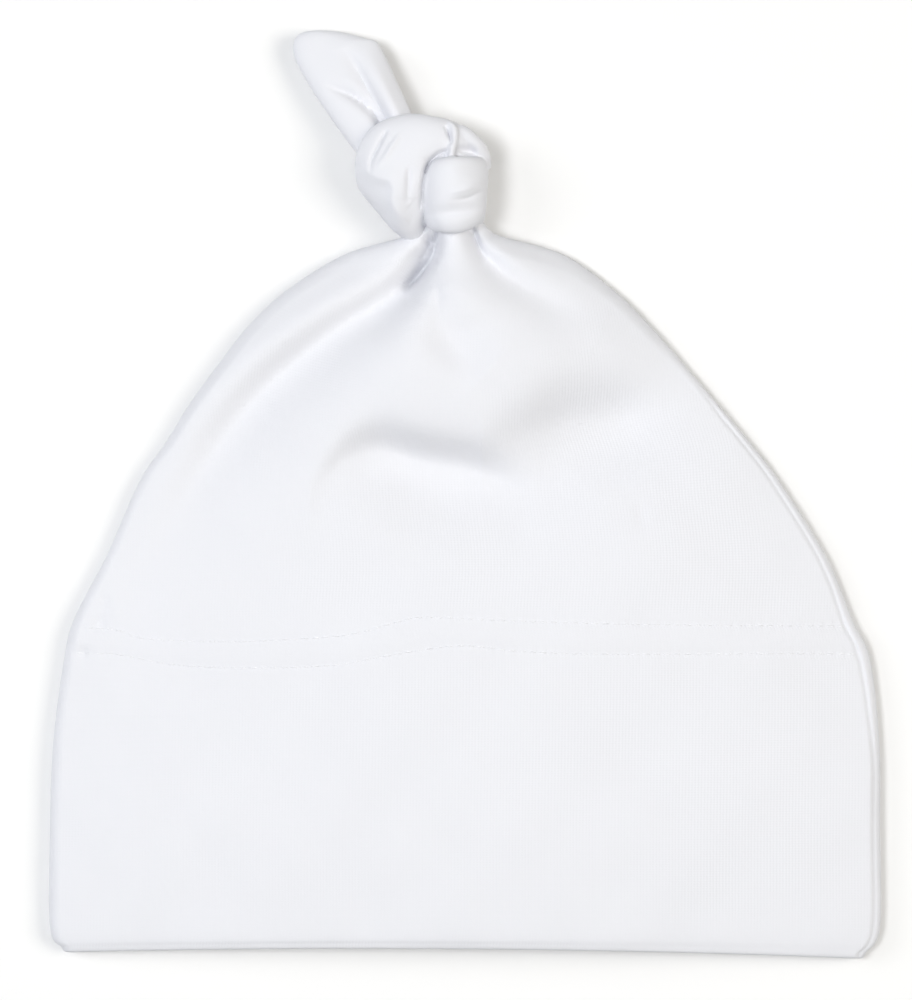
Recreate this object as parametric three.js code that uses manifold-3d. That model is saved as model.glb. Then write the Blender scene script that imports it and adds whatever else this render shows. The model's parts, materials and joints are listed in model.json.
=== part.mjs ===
// A newborn's knotted nightcap in white cotton jersey, lying flat on its back, in millimetres.
// The cloth is one tapering tube: a deep turned-up hem, a crown gathered to a narrow neck, an overhand
// knot tied in the tube above the neck, and the free end of the tube, the tail.
// +Y runs from the hem to the tail, +Z is up from the surface that the cap lies on, +X is to the right.
// The origin is under the middle of the whole cap, on that surface.
import * as THREE from "three";
import { mergeVertices } from "three/addons/utils/BufferGeometryUtils.js";
import Module from "manifold-3d";

const wasm = await Module();
wasm.setup();

// Driving dimensions
const FLAT_WIDTH = 170; // across the hem, lying flat
const CAP_HEIGHT = 147; // hem edge to the underside of the knot
const HEM_DEPTH = 65; // folded edge to the upper row of stitches, where the turned-up layer ends
const JERSEY_WALL = 1.2; // one layer of interlock jersey
const HEM_WALL = 2; // the two layers of the hem, pressed together
const EDGE_RADIUS = 2.4; // the soft fold along each side, where front and back meet
const LOFT = 10.6; // how far the front stands above the side folds, at most
const FOLD_RISE = 4; // the deepest fold
const FOLD_WIDTH = 10; // the widest fold, from its middle
const NECK_WIDTH = 16; // the gathered neck under the knot
const NECK_HEIGHT = 7.8; // the thickness of the gathered neck
const NECK_LIFT = 3; // the underside of the neck, above the surface
const NECK_SHIFT = -2.5; // the neck and the knot lie a little to the left
const KNOT_WIDTH = 29;
const KNOT_LENGTH = 23;
const KNOT_THICKNESS = 18;
const STRAND_WIDTH = 15.4; // the flattened tube of cloth in the knot
const STRAND_THICKNESS = 7;
const TAIL_LENGTH = 30; // from under the knot to the tip
const TAIL_WIDTH = 16.6;
const TAIL_THICKNESS = 6.6;
const CLEARANCE = 0.3; // between touching pieces

const CLOTH_COLOUR = 0xf1f2f5;

// How finely the surfaces are divided
const FRONT_STEPS = 32;
const BACK_STEPS = 14;
const BACK_CROWDING = 0.09;
const SLOPE_STEP = 0.02;
const HEM_RINGS = 9;
const CROWN_RINGS = 33;
const HOLLOW_RINGS = 28;
const STRAND_RINGS = 17;
const STRAND_SIDES = 14;
const PATH_STEPS = 8;

const HALF_WIDTH = FLAT_WIDTH / 2;

// Sections of the tube from the hem upwards. x is a share of the half width and y of the cap's height, at the
// left and right side folds; sag is how far the middle of the section lies nearer the hem, a share of the
// height; edge is a share of the side fold's radius and loft a share of the loft.
const BODY_COLUMNS = ["leftX", "leftY", "rightX", "rightY", "sag", "edge", "loft"];
const BODY_SECTIONS = [
  [-0.972, 0.006, 0.965, -0.003, -0.013, 1, 0.5],
  [-1.0, 0.034, 1.0, 0.034, -0.006, 1.1, 0.56],
  [-1.0, 0.17, 1.0, 0.17, 0, 1.15, 0.7],
  [-0.992, 0.293, 0.998, 0.293, 0, 1.1, 0.72],
  [-0.966, 0.408, 0.976, 0.408, -0.008, 1.05, 0.74],
  [-0.942, 0.463, 0.935, 0.461, -0.006, 1, 0.74],
  [-0.864, 0.551, 0.87, 0.551, 0.006, 0.95, 0.76],
  [-0.786, 0.653, 0.76, 0.653, 0.02, 0.95, 0.78],
  [-0.72, 0.71, 0.685, 0.71, 0.03, 0.95, 0.82],
  [-0.661, 0.765, 0.605, 0.765, 0.042, 1, 0.9],
  [-0.594, 0.818, 0.53, 0.816, 0.052, 1, 1],
  [-0.524, 0.87, 0.448, 0.87, 0.06, 1.05, 1.06],
  [-0.436, 0.918, 0.36, 0.92, 0.068, 1.1, 1.02],
  [-0.292, 0.97, 0.235, 0.971, 0.072, 1.2, 0.85],
];
// The gathered neck. x is a share of the neck's width, measured from its middle; y and sag are shares of the
// cap's height; thick is a share of the neck's thickness and lift of its height above the surface.
const NECK_COLUMNS = ["leftX", "leftY", "rightX", "rightY", "sag", "thick", "lift"];
const NECK_SECTIONS = [
  [-0.62, 0.994, 0.64, 0.994, 0.046, 1.25, 0.7],
  [-0.44, 1.004, 0.47, 1.004, 0.024, 1.05, 0.92],
  [-0.33, 1.022, 0.34, 1.022, 0.004, 1, 1],
];
// The share of a gathered section's thickness that is its side folds' radius
const GATHERED_EDGE = 0.4;
// The size of the flat face at the tail's tip, a share of the tail's
const TIP_FACE = 0.2;
// The number of stations over which the tail rounds off
const TIP_STATIONS = 1.4;

// Folds and dents of the front, each a path of rows. x and y are placed as in the sections; rise is a share
// of the fold's rise, negative for a groove; left and right are shares of the fold's width on either side.
// round is the shape of the bottom: 2 is rounded and 1 a crease.
const FOLD_COLUMNS = ["x", "y", "rise", "left", "right", "round"];
const FOLDS = {
  left_groove: [
    [-0.085, 0.99, -1.3, 0.18, 0.2, 1.6],
    [-0.135, 0.935, -1.45, 0.3, 0.28, 1.5],
    [-0.22, 0.9, -1.15, 0.5, 0.32, 1.3],
    [-0.332, 0.86, -1.1, 0.7, 0.32, 1.2],
    [-0.49, 0.79, -1, 0.8, 0.32, 1.2],
    [-0.612, 0.704, -0.7, 0.85, 0.38, 1.3],
    [-0.755, 0.544, -0.2, 0.8, 0.5, 1.8],
    [-0.86, 0.445, 0, 0.7, 0.5, 2],
  ],
  left_roll: [
    [-0.15, 0.965, 0, 0.3, 0.3, 2],
    [-0.265, 0.92, 0.2, 0.34, 0.34, 2],
    [-0.375, 0.882, 0.3, 0.36, 0.36, 2],
    [-0.535, 0.815, 0.3, 0.38, 0.38, 2],
    [-0.66, 0.725, 0.2, 0.4, 0.4, 2],
    [-0.79, 0.57, 0, 0.4, 0.4, 2],
  ],
  middle_ridge: [
    [-0.03, 0.99, 0.3, 0.3, 0.25, 2],
    [-0.01, 0.93, 0.22, 0.5, 0.4, 2],
    [0.02, 0.86, 0, 0.8, 0.6, 2],
  ],
  middle_dent: [
    [-0.085, 0.92, 0, 0.2, 0.2, 1.8],
    [-0.08, 0.872, -0.6, 0.32, 0.4, 1.8],
    [-0.058, 0.843, -1.1, 0.36, 0.5, 1.8],
    [-0.015, 0.82, -0.75, 0.4, 0.5, 1.8],
    [0.04, 0.798, 0, 0.4, 0.4, 2],
  ],
  right_groove: [
    [0.015, 1.0, -0.7, 0.14, 0.14, 1.6],
    [0.05, 0.965, -0.5, 0.22, 0.26, 1.6],
    [0.118, 0.93, -0.42, 0.36, 0.4, 1.6],
    [0.21, 0.9, -0.34, 0.5, 0.5, 1.8],
    [0.33, 0.872, 0, 0.6, 0.6, 2],
  ],
  right_ridge: [
    [0.07, 0.985, 0.2, 0.2, 0.2, 2],
    [0.115, 0.957, 0.34, 0.26, 0.26, 2],
    [0.2, 0.934, 0.24, 0.34, 0.34, 2],
    [0.33, 0.9, 0, 0.4, 0.4, 2],
  ],
};
// Hollows that lie across the front, lowest along their lines. depth is a share of the fold's rise; above and
// below are shares of the fold's width, on the sides of the knot and of the hem.
const HOLLOW_COLUMNS = ["x", "y", "depth", "above", "below"];
const HOLLOWS = {
  long_hollow: [
    [-0.37, 0.635, 0, 0.4, 0.6],
    [-0.29, 0.68, 0.6, 0.46, 0.9],
    [-0.209, 0.695, 1.2, 0.5, 1.1],
    [-0.108, 0.681, 1.45, 0.52, 1.2],
    [0.014, 0.667, 1.35, 0.54, 1.2],
    [0.113, 0.645, 0.9, 0.56, 1.1],
    [0.17, 0.622, 0.36, 0.56, 1],
    [0.23, 0.605, 0.06, 0.56, 0.9],
    [0.29, 0.59, 0, 0.5, 0.8],
  ],
  right_hollow: [
    [0.04, 0.69, 0, 0.6, 0.8],
    [0.132, 0.702, 0.6, 0.66, 1],
    [0.241, 0.718, 1.1, 0.74, 1.1],
    [0.361, 0.726, 1, 0.8, 1.1],
    [0.47, 0.73, 0.65, 0.8, 1.1],
    [0.58, 0.73, 0, 0.7, 1],
  ],
};

// The strands of the knot: the core that carries on from the neck, the lobe that turns over the top and down
// the left side, the wrap that comes from behind the neck, round the right side and across the front, the
// thin twist over the top and the shoulder beside it. x, y and z are shares of the knot's width, length and
// thickness from the neck's middle, wide and thick are shares of the strand's, and out is the direction that
// the strand's outer face looks in. slant is how far the left side runs ahead, a share of the half width, and
// full the shape of the section: 1 is an oval, and less is fuller.
const STRAND_COLUMNS = ["x", "y", "z", "wide", "thick", "outX", "outY", "outZ", "slant", "full"];
const STRANDS = {
  core: [
    [0, 0.06, 0.4, 0.72, 1.26, 0, 0, 1, 0, 0.9],
    [0, 0.3, 0.42, 0.72, 1.2, 0, 0, 1, 0, 0.9],
    [0.03, 0.5, 0.47, 0.7, 1.15, 0, 0, 1, 0, 0.9],
    [0.04, 0.62, 0.52, 0.6, 1, 0, 0, 1, 0, 0.9],
  ],
  lobe: [
    [0.1, 0.48, 0.44, 0.4, 1.2, 0, 0, 1, 0, 0.9],
    [0.08, 0.62, 0.5, 0.42, 1.3, 0, 0, 1, 0, 0.9],
    [0.04, 0.72, 0.57, 0.46, 1.35, 0, 0.1, 1, 0, 0.9],
    [-0.03, 0.79, 0.62, 0.52, 1.3, 0, 0.2, 1, 0, 0.9],
    [-0.14, 0.8, 0.65, 0.62, 1.25, 0, 0.2, 1, 0, 0.9],
    [-0.265, 0.77, 0.67, 0.82, 1.2, -0.1, 0.15, 1, 0, 0.85],
    [-0.37, 0.67, 0.67, 1.05, 1.15, -0.2, 0.05, 1, 0, 0.85],
    [-0.405, 0.52, 0.63, 1.12, 1.25, -0.25, -0.1, 1, 0, 0.9],
    [-0.375, 0.34, 0.55, 1, 1.45, -0.25, -0.25, 1, 0, 0.95],
    [-0.345, 0.17, 0.48, 0.64, 1.3, -0.3, -0.3, 1, 0, 0.95],
    [-0.285, 0.05, 0.38, 0.4, 1, -0.35, -0.3, 1, 0, 0.95],
    [-0.25, -0.03, 0.3, 0.26, 0.7, -0.3, -0.3, 1, 0, 1],
  ],
  wrap: [
    [-0.28, 0.3, 0.3, 0.8, 0.7, -0.5, 0, -1, 0, 0.7],
    [-0.1, 0.3, 0.17, 0.9, 0.64, 0, 0, -1, 0, 0.65],
    [0.07, 0.31, 0.18, 0.88, 0.64, 0.2, 0, -1, 0, 0.6],
    [0.145, 0.34, 0.34, 0.88, 0.66, 1, 0, -0.4, 0, 0.6],
    [0.155, 0.36, 0.55, 0.88, 0.72, 1, -0.1, 0.3, 0, 0.65],
    [0.11, 0.335, 0.74, 0.94, 0.84, 0.5, -0.15, 1, 0, 0.65],
    [0.02, 0.31, 0.81, 1.01, 0.9, 0, -0.16, 1, 0, 0.65],
    [-0.065, 0.3, 0.76, 0.98, 0.9, -0.5, -0.16, 1, 0, 0.65],
    [-0.115, 0.3, 0.6, 0.9, 0.84, -1, -0.1, 0.4, 0, 0.7],
    [-0.12, 0.32, 0.43, 0.84, 0.8, -1, 0, -0.1, 0, 0.7],
  ],
  twist: [
    [-0.04, 0.93, 0.6, 0.12, 0.5, 0, 0.2, 1, 0, 1],
    [0.01, 0.87, 0.78, 0.15, 0.5, 0, 0.2, 1, 0, 1],
    [0.015, 0.77, 0.84, 0.15, 0.5, 0, 0.1, 1, 0, 1],
    [0, 0.67, 0.82, 0.13, 0.5, 0, 0, 1, 0, 1],
    [-0.02, 0.58, 0.7, 0.1, 0.4, 0, 0, 1, 0, 1],
  ],
  shoulder: [
    [-0.02, 0.66, 0.6, 0.3, 0.6, 0, 0.3, 1, 0, 0.9],
    [0.07, 0.7, 0.66, 0.36, 0.6, 0, 0.3, 1, 0, 0.9],
    [0.15, 0.68, 0.56, 0.36, 0.6, 0.4, 0.3, 1, 0, 0.9],
    [0.19, 0.6, 0.4, 0.3, 0.6, 1, 0.3, 0.6, 0, 0.9],
  ],
};
// Where the tail starts under the lobe, in shares of the knot's width and length from the neck's middle
const TAIL_ROOT = [-0.38, 0.63];
// The tail, from its root to its tip. x and y are shares of the tail's length from the root, z of the knot's
// thickness, wide and thick of the tail's width and thickness.
const TAIL_SECTIONS = [
  [0, 0, 0.42, 0.68, 1.05, 0, 0, 1, 0, 0.9],
  [-0.117, 0.21, 0.42, 0.84, 1.12, 0, 0, 1, 0, 0.85],
  [-0.24, 0.423, 0.37, 0.93, 1.1, 0, 0, 1, 0, 0.8],
  [-0.362, 0.64, 0.31, 1, 1, 0, 0, 1, 0.12, 0.8],
  [-0.448, 0.795, 0.26, 0.97, 0.9, 0, 0, 1, 0.38, 0.8],
  [-0.492, 0.893, 0.24, 0.88, 0.85, 0, 0, 1, 0.5, 0.85],
];

const named = (columns, rows) => rows.map((row) => Object.fromEntries(columns.map((c, i) => [c, row[i]])));

// The rows of a table, joined by a smooth curve through each column; at counts rows from 0.
function smooth(rows, at) {
  const last = rows.length - 1;
  const from = Math.min(Math.max(Math.floor(at), 0), last - 1);
  const t = Math.min(Math.max(at - from, 0), 1);
  const [a, b, c, d] = [from - 1, from, from + 1, from + 2].map((i) => rows[Math.min(Math.max(i, 0), last)]);
  const mixed = {};
  for (const key of Object.keys(b)) {
    const rise = c[key] - b[key];
    const slope = (c[key] - a[key]) / 2;
    const nextSlope = (d[key] - b[key]) / 2;
    const bend = 3 * rise - 2 * slope - nextSlope;
    mixed[key] = b[key] + t * (slope + t * (bend + t * (slope + nextSlope - 2 * rise)));
  }
  return mixed;
}

// The sections in millimetres, hem first.
const SECTIONS = [
  ...named(BODY_COLUMNS, BODY_SECTIONS).map((s) => ({
    leftX: s.leftX * HALF_WIDTH,
    leftY: s.leftY * CAP_HEIGHT,
    rightX: s.rightX * HALF_WIDTH,
    rightY: s.rightY * CAP_HEIGHT,
    sag: s.sag * CAP_HEIGHT,
    edge: s.edge * EDGE_RADIUS,
    loft: s.loft * LOFT,
    lift: 0,
  })),
  ...named(NECK_COLUMNS, NECK_SECTIONS).map((s) => ({
    leftX: NECK_SHIFT + s.leftX * NECK_WIDTH,
    leftY: s.leftY * CAP_HEIGHT,
    rightX: NECK_SHIFT + s.rightX * NECK_WIDTH,
    rightY: s.rightY * CAP_HEIGHT,
    sag: s.sag * CAP_HEIGHT,
    edge: s.thick * NECK_HEIGHT * GATHERED_EDGE,
    loft: s.thick * NECK_HEIGHT * (1 - 2 * GATHERED_EDGE),
    lift: s.lift * NECK_LIFT,
  })),
];
const NECK_END = SECTIONS.length - 1;
// The number of sections of the body, counted back from the neck, over which the gathers fill the hollow
const SOLID_NECK = 2.4;

function polyline(points) {
  const steps = (points.length - 1) * PATH_STEPS;
  return Array.from({ length: steps + 1 }, (_, i) => smooth(points, i / PATH_STEPS));
}

// The folds and hollows in millimetres, each a polyline.
const FOLD_PATHS = Object.values(FOLDS).map((rows) =>
  polyline(
    named(FOLD_COLUMNS, rows).map((f) => ({
      x: f.x * HALF_WIDTH,
      y: f.y * CAP_HEIGHT,
      rise: f.rise * FOLD_RISE,
      left: f.left * FOLD_WIDTH,
      right: f.right * FOLD_WIDTH,
      round: f.round,
    })),
  ),
);
const HOLLOW_PATHS = Object.values(HOLLOWS).map((rows) =>
  polyline(
    named(HOLLOW_COLUMNS, rows).map((h) => ({
      x: h.x * HALF_WIDTH,
      y: h.y * CAP_HEIGHT,
      depth: h.depth * FOLD_RISE,
      above: h.above * FOLD_WIDTH,
      below: h.below * FOLD_WIDTH,
    })),
  ),
);

// The height that one fold adds at a place on the front.
function foldHeight(path, x, y) {
  let nearest = { distance: Infinity };
  for (let i = 0; i < path.length - 1; i++) {
    const [a, b] = [path[i], path[i + 1]];
    const [dx, dy] = [b.x - a.x, b.y - a.y];
    const t = THREE.MathUtils.clamp(((x - a.x) * dx + (y - a.y) * dy) / (dx * dx + dy * dy), 0, 1);
    const distance = Math.hypot(x - a.x - t * dx, y - a.y - t * dy);
    if (distance < nearest.distance) {
      const side = dx * (y - a.y) - dy * (x - a.x) > 0 ? "left" : "right";
      const [width, rise, round] = [side, "rise", "round"].map((key) => a[key] + t * (b[key] - a[key]));
      nearest = { distance, width, rise, round };
    }
  }
  return nearest.rise * Math.exp(-((nearest.distance / nearest.width) ** nearest.round));
}

// The depth of one hollow at a place on the front.
function hollowDepth(path, x, y) {
  const i = path.findIndex((p) => p.x > x);
  if (i < 1) return 0;
  const [a, b] = [path[i - 1], path[i]];
  const t = (x - a.x) / (b.x - a.x);
  const off = y - (a.y + t * (b.y - a.y));
  const side = off > 0 ? "above" : "below";
  const width = a[side] + t * (b[side] - a[side]);
  return (a.depth + t * (b.depth - a.depth)) * Math.exp(-((off / width) ** 2));
}

// A point of the tube's outer surface. turn runs round the section from the left side fold, over the front
// to the right side fold at half a turn, and back underneath; at is the place among the sections.
function outerPoint(turn, at) {
  const s = smooth(SECTIONS, at);
  const across = -Math.cos(turn);
  const middle = 1 - across * across;
  const half = (s.rightX - s.leftX) / 2;
  const x = (s.leftX + s.rightX) / 2 + across * half;
  const y = (s.leftY + s.rightY) / 2 + (across * (s.rightY - s.leftY)) / 2 - s.sag * middle;
  const inward = Math.min((half * (1 - Math.abs(across))) / s.edge, 1);
  const round = s.edge * Math.sqrt(1 - (1 - inward) ** 2);
  const lift = Math.max(s.lift, 0);
  if (Math.sin(turn) < 0) return new THREE.Vector3(x, y, lift + s.edge - round);
  const settled = THREE.MathUtils.smoothstep(inward, 0, 1);
  const folds = FOLD_PATHS.reduce((sum, path) => sum + foldHeight(path, x, y), 0);
  const hollows = HOLLOW_PATHS.reduce((sum, path) => sum + hollowDepth(path, x, y), 0);
  return new THREE.Vector3(x, y, lift + s.edge + round + s.loft * middle + (folds - hollows) * settled);
}

// A point that lies inset inside the outer surface. A level one keeps the y of the outer point.
function surfacePoint(turn, at, inset, level) {
  const point = outerPoint(turn, at);
  if (!inset) return point;
  const low = Math.max(at - SLOPE_STEP, 0);
  const high = Math.min(at + SLOPE_STEP, NECK_END);
  const round = outerPoint(turn + SLOPE_STEP, at).sub(outerPoint(turn - SLOPE_STEP, at));
  const normal = round.cross(outerPoint(turn, high).sub(outerPoint(turn, low)));
  if (level) normal.y = 0;
  return point.addScaledVector(normal.normalize(), -inset);
}

// One ring of points round the section. Those of the flat back crowd towards the side folds.
function ring(at, inset, level) {
  const turns = [];
  for (let i = 0; i < FRONT_STEPS; i++) turns.push((Math.PI * i) / FRONT_STEPS);
  for (let i = 0; i < BACK_STEPS; i++) {
    const t = i / BACK_STEPS;
    turns.push(Math.PI * (1 + t - BACK_CROWDING * Math.sin(2 * Math.PI * t)));
  }
  return turns.map((turn) => surfacePoint(turn, at, inset, level));
}

// A closed geometry through rings of equal size. A ring that should close on itself ends in its own middle.
function loft(rings, closed) {
  const points = rings.flat();
  const size = rings[0].length;
  const triangles = [];
  const count = closed ? rings.length : rings.length - 1;
  for (let r = 0; r < count; r++) {
    for (let i = 0; i < size; i++) {
      const [a, b] = [r * size + i, r * size + ((i + 1) % size)];
      const next = ((r + 1) % rings.length) * size - r * size;
      triangles.push(a, b, b + next, a, b + next, a + next);
    }
  }
  const cap = (start, flip) => {
    const middle = new THREE.Vector3();
    for (let i = 0; i < size; i++) middle.addScaledVector(points[start + i], 1 / size);
    points.push(middle);
    for (let i = 0; i < size; i++) {
      const [a, b] = [start + i, start + ((i + 1) % size)];
      triangles.push(points.length - 1, flip ? b : a, flip ? a : b);
    }
  };
  if (!closed) {
    cap(0, true);
    cap((rings.length - 1) * size, false);
  }
  const positions = new Float32Array(points.flatMap((p) => p.toArray()));
  return new THREE.BufferGeometry()
    .setAttribute("position", new THREE.BufferAttribute(positions, 3))
    .setIndex(triangles);
}

function between(from, to, count) {
  return Array.from({ length: count }, (_, i) => from + ((to - from) * i) / (count - 1));
}

// The place among the sections whose side folds lie at a height above the hem.
function placeAtHeight(height) {
  let [low, high] = [1, NECK_END];
  while (high - low > 1e-6) {
    const middle = (low + high) / 2;
    const s = smooth(SECTIONS, middle);
    if ((s.leftY + s.rightY) / 2 < height) low = middle;
    else high = middle;
  }
  return low;
}

// The turned-up hem: two layers of cloth as one wall, open at both ends, with a rounded folded edge.
function hemGeometry() {
  const top = placeAtHeight(HEM_DEPTH - CLEARANCE);
  const places = between(0, top, HEM_RINGS);
  const outside = places.map((at) => ring(at, 0));
  const inside = places.map((at) => ring(at, HEM_WALL, true)).reverse();
  const nose = ring(0, HEM_WALL / 2, true).map((p) => p.add(new THREE.Vector3(0, -HEM_WALL / 2, 0)));
  return loft([...outside, ...inside, nose], true);
}

// The crown: one layer of cloth, open at the hem and hollow up to the gathered neck.
function crownGeometry() {
  const bottom = placeAtHeight(HEM_DEPTH);
  const outside = between(bottom, NECK_END, CROWN_RINGS).map((at) => ring(at, 0));
  const hollowEnd = BODY_SECTIONS.length - SOLID_NECK;
  const inside = between(bottom, hollowEnd, HOLLOW_RINGS).map((at) => ring(at, JERSEY_WALL, at === bottom));
  return loft([...inside.reverse(), ...outside], false);
}

// The cosine and sine of an angle on a rounded section, which is fuller than an oval where full is below 1.
function onSection(angle, full) {
  return [Math.cos(angle), Math.sin(angle)].map((share) => Math.sign(share) * Math.abs(share) ** full);
}

// A strand of bunched cloth along its stations, a rounded tube with closed ends, grown outwards by grow. It
// rounds off to its tip over the last roundTip stations.
function strandGeometry(stations, grow, roundTip) {
  const end = stations.length - 1;
  const rings = between(0, end, STRAND_RINGS).map((place) => {
    const s = smooth(stations, place);
    const [before, after] = [smooth(stations, place - 0.05), smooth(stations, place + 0.05)];
    const forward = new THREE.Vector3(after.x - before.x, after.y - before.y, after.z - before.z).normalize();
    const side = new THREE.Vector3(s.outX, s.outY, s.outZ).cross(forward).normalize();
    const out = forward.clone().cross(side);
    const left = roundTip ? Math.min((end - place) / roundTip, 1) : 1;
    const tip = Math.sqrt(1 - (1 - left) ** 2 * (1 - TIP_FACE ** 2));
    const beyond = place === 0 ? -grow : place === end ? grow : 0;
    return Array.from({ length: STRAND_SIDES }, (_, i) => {
      const [flat, high] = onSection((2 * Math.PI * i) / STRAND_SIDES, s.full);
      const across = flat * (s.wide * tip + grow);
      return new THREE.Vector3(s.x, s.y, s.z)
        .addScaledVector(forward, beyond + s.slant * across)
        .addScaledVector(side, across)
        .addScaledVector(out, high * (s.thick * tip + grow));
    });
  });
  return loft(rings, false);
}

const knotStations = (rows) =>
  named(STRAND_COLUMNS, rows).map((s) => ({
    ...s,
    x: NECK_SHIFT + s.x * KNOT_WIDTH,
    y: CAP_HEIGHT + s.y * KNOT_LENGTH,
    z: s.z * KNOT_THICKNESS,
    wide: (s.wide * STRAND_WIDTH) / 2,
    thick: (s.thick * STRAND_THICKNESS) / 2,
  }));

const tailStations = named(STRAND_COLUMNS, TAIL_SECTIONS).map((s) => ({
  ...s,
  x: NECK_SHIFT + TAIL_ROOT[0] * KNOT_WIDTH + s.x * TAIL_LENGTH,
  y: CAP_HEIGHT + TAIL_ROOT[1] * KNOT_LENGTH + s.y * TAIL_LENGTH,
  z: s.z * KNOT_THICKNESS,
  wide: (s.wide * TAIL_WIDTH) / 2,
  thick: (s.thick * TAIL_THICKNESS) / 2,
}));

function toSolid(geometry) {
  const merged = mergeVertices(geometry, 1e-4);
  return new wasm.Manifold(
    new wasm.Mesh({
      numProp: 3,
      vertProperties: merged.attributes.position.array,
      triVerts: new Uint32Array(merged.index.array),
    }),
  );
}

function toGeometry(solid) {
  const mesh = solid.getMesh();
  return new THREE.BufferGeometry()
    .setAttribute("position", new THREE.BufferAttribute(mesh.vertProperties, 3))
    .setIndex(new THREE.BufferAttribute(mesh.triVerts, 1));
}

// The knot: its strands, pressed into each other.
function knotSolid(grow) {
  const strands = Object.values(STRANDS).map((rows) => toSolid(strandGeometry(knotStations(rows), grow, 0)));
  return strands.reduce((joined, strand) => joined.add(strand));
}

function clothMaterial(roughness) {
  return new THREE.MeshStandardMaterial({ color: CLOTH_COLOUR, roughness, metalness: 0 });
}

function piece(name, geometry, material) {
  geometry.computeVertexNormals();
  const mesh = new THREE.Mesh(geometry, material);
  mesh.name = name;
  return mesh;
}

const jersey = clothMaterial(0.9);
const doubledJersey = clothMaterial(0.88);
const roomForKnot = knotSolid(CLEARANCE);
const tailSolid = toSolid(strandGeometry(tailStations, 0, TIP_STATIONS));
const cap = new THREE.Group();
cap.add(
  piece("hem_band", hemGeometry(), doubledJersey),
  piece("crown", toGeometry(toSolid(crownGeometry()).subtract(roomForKnot)), jersey),
  piece("knot", toGeometry(knotSolid(0)), jersey),
  piece("tail", toGeometry(tailSolid.subtract(roomForKnot)), jersey),
);

// The cap is placed with the middle of its underside at the origin.
const bounds = new THREE.Box3().setFromObject(cap, true);
const centre = bounds.getCenter(new THREE.Vector3());
cap.position.set(-centre.x, -centre.y, -bounds.min.z);

const nightcap = new THREE.Group();
nightcap.add(cap);

export default nightcap;
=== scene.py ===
"""A newborn's knotted nightcap in white cotton jersey, lying flat on its back on a white table.

The cloth is the same tapering tube as in the solids, worked out finely: the turned-up hem and the crown with
their folds, stitches and side seam, the overhand knot and the free tail above it. Lengths are in metres, and
the tables hold shares of the named sizes.
"""
import json
import math

import bpy
import numpy as np
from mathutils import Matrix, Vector

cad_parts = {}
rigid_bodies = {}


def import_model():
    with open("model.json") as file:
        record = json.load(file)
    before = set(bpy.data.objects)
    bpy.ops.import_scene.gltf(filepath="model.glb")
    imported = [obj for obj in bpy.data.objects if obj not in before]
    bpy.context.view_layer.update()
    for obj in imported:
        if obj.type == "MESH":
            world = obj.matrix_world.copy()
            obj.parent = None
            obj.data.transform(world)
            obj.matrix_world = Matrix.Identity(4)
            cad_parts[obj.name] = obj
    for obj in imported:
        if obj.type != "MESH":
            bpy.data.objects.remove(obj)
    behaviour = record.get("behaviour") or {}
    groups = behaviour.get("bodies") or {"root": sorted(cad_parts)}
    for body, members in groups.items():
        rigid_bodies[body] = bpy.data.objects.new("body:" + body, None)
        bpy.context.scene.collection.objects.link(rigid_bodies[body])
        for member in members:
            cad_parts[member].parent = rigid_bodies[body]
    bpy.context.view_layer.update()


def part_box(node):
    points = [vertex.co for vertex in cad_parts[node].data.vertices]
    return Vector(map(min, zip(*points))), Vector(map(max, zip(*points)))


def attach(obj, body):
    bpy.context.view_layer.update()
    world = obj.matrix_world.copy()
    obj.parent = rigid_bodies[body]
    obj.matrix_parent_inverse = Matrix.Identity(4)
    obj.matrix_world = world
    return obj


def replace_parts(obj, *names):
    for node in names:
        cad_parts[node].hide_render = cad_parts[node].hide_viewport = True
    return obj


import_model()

MM = 0.001

# Driving dimensions, as in the solids
FLAT_WIDTH = 170 * MM
CAP_HEIGHT = 147 * MM
HEM_DEPTH = 65 * MM
JERSEY_WALL = 1.2 * MM
HEM_WALL = 2 * MM
EDGE_RADIUS = 2.4 * MM
LOFT = 10.6 * MM
FOLD_RISE = 4 * MM
FOLD_WIDTH = 10 * MM
NECK_WIDTH = 16 * MM
NECK_HEIGHT = 7.8 * MM
NECK_LIFT = 3 * MM
NECK_SHIFT = -2.5 * MM
KNOT_WIDTH = 29 * MM
KNOT_LENGTH = 23 * MM
KNOT_THICKNESS = 18 * MM
STRAND_WIDTH = 15.4 * MM
STRAND_THICKNESS = 7 * MM
TAIL_LENGTH = 30 * MM
TAIL_WIDTH = 16.6 * MM
TAIL_THICKNESS = 6.6 * MM
HALF_WIDTH = FLAT_WIDTH / 2

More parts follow.
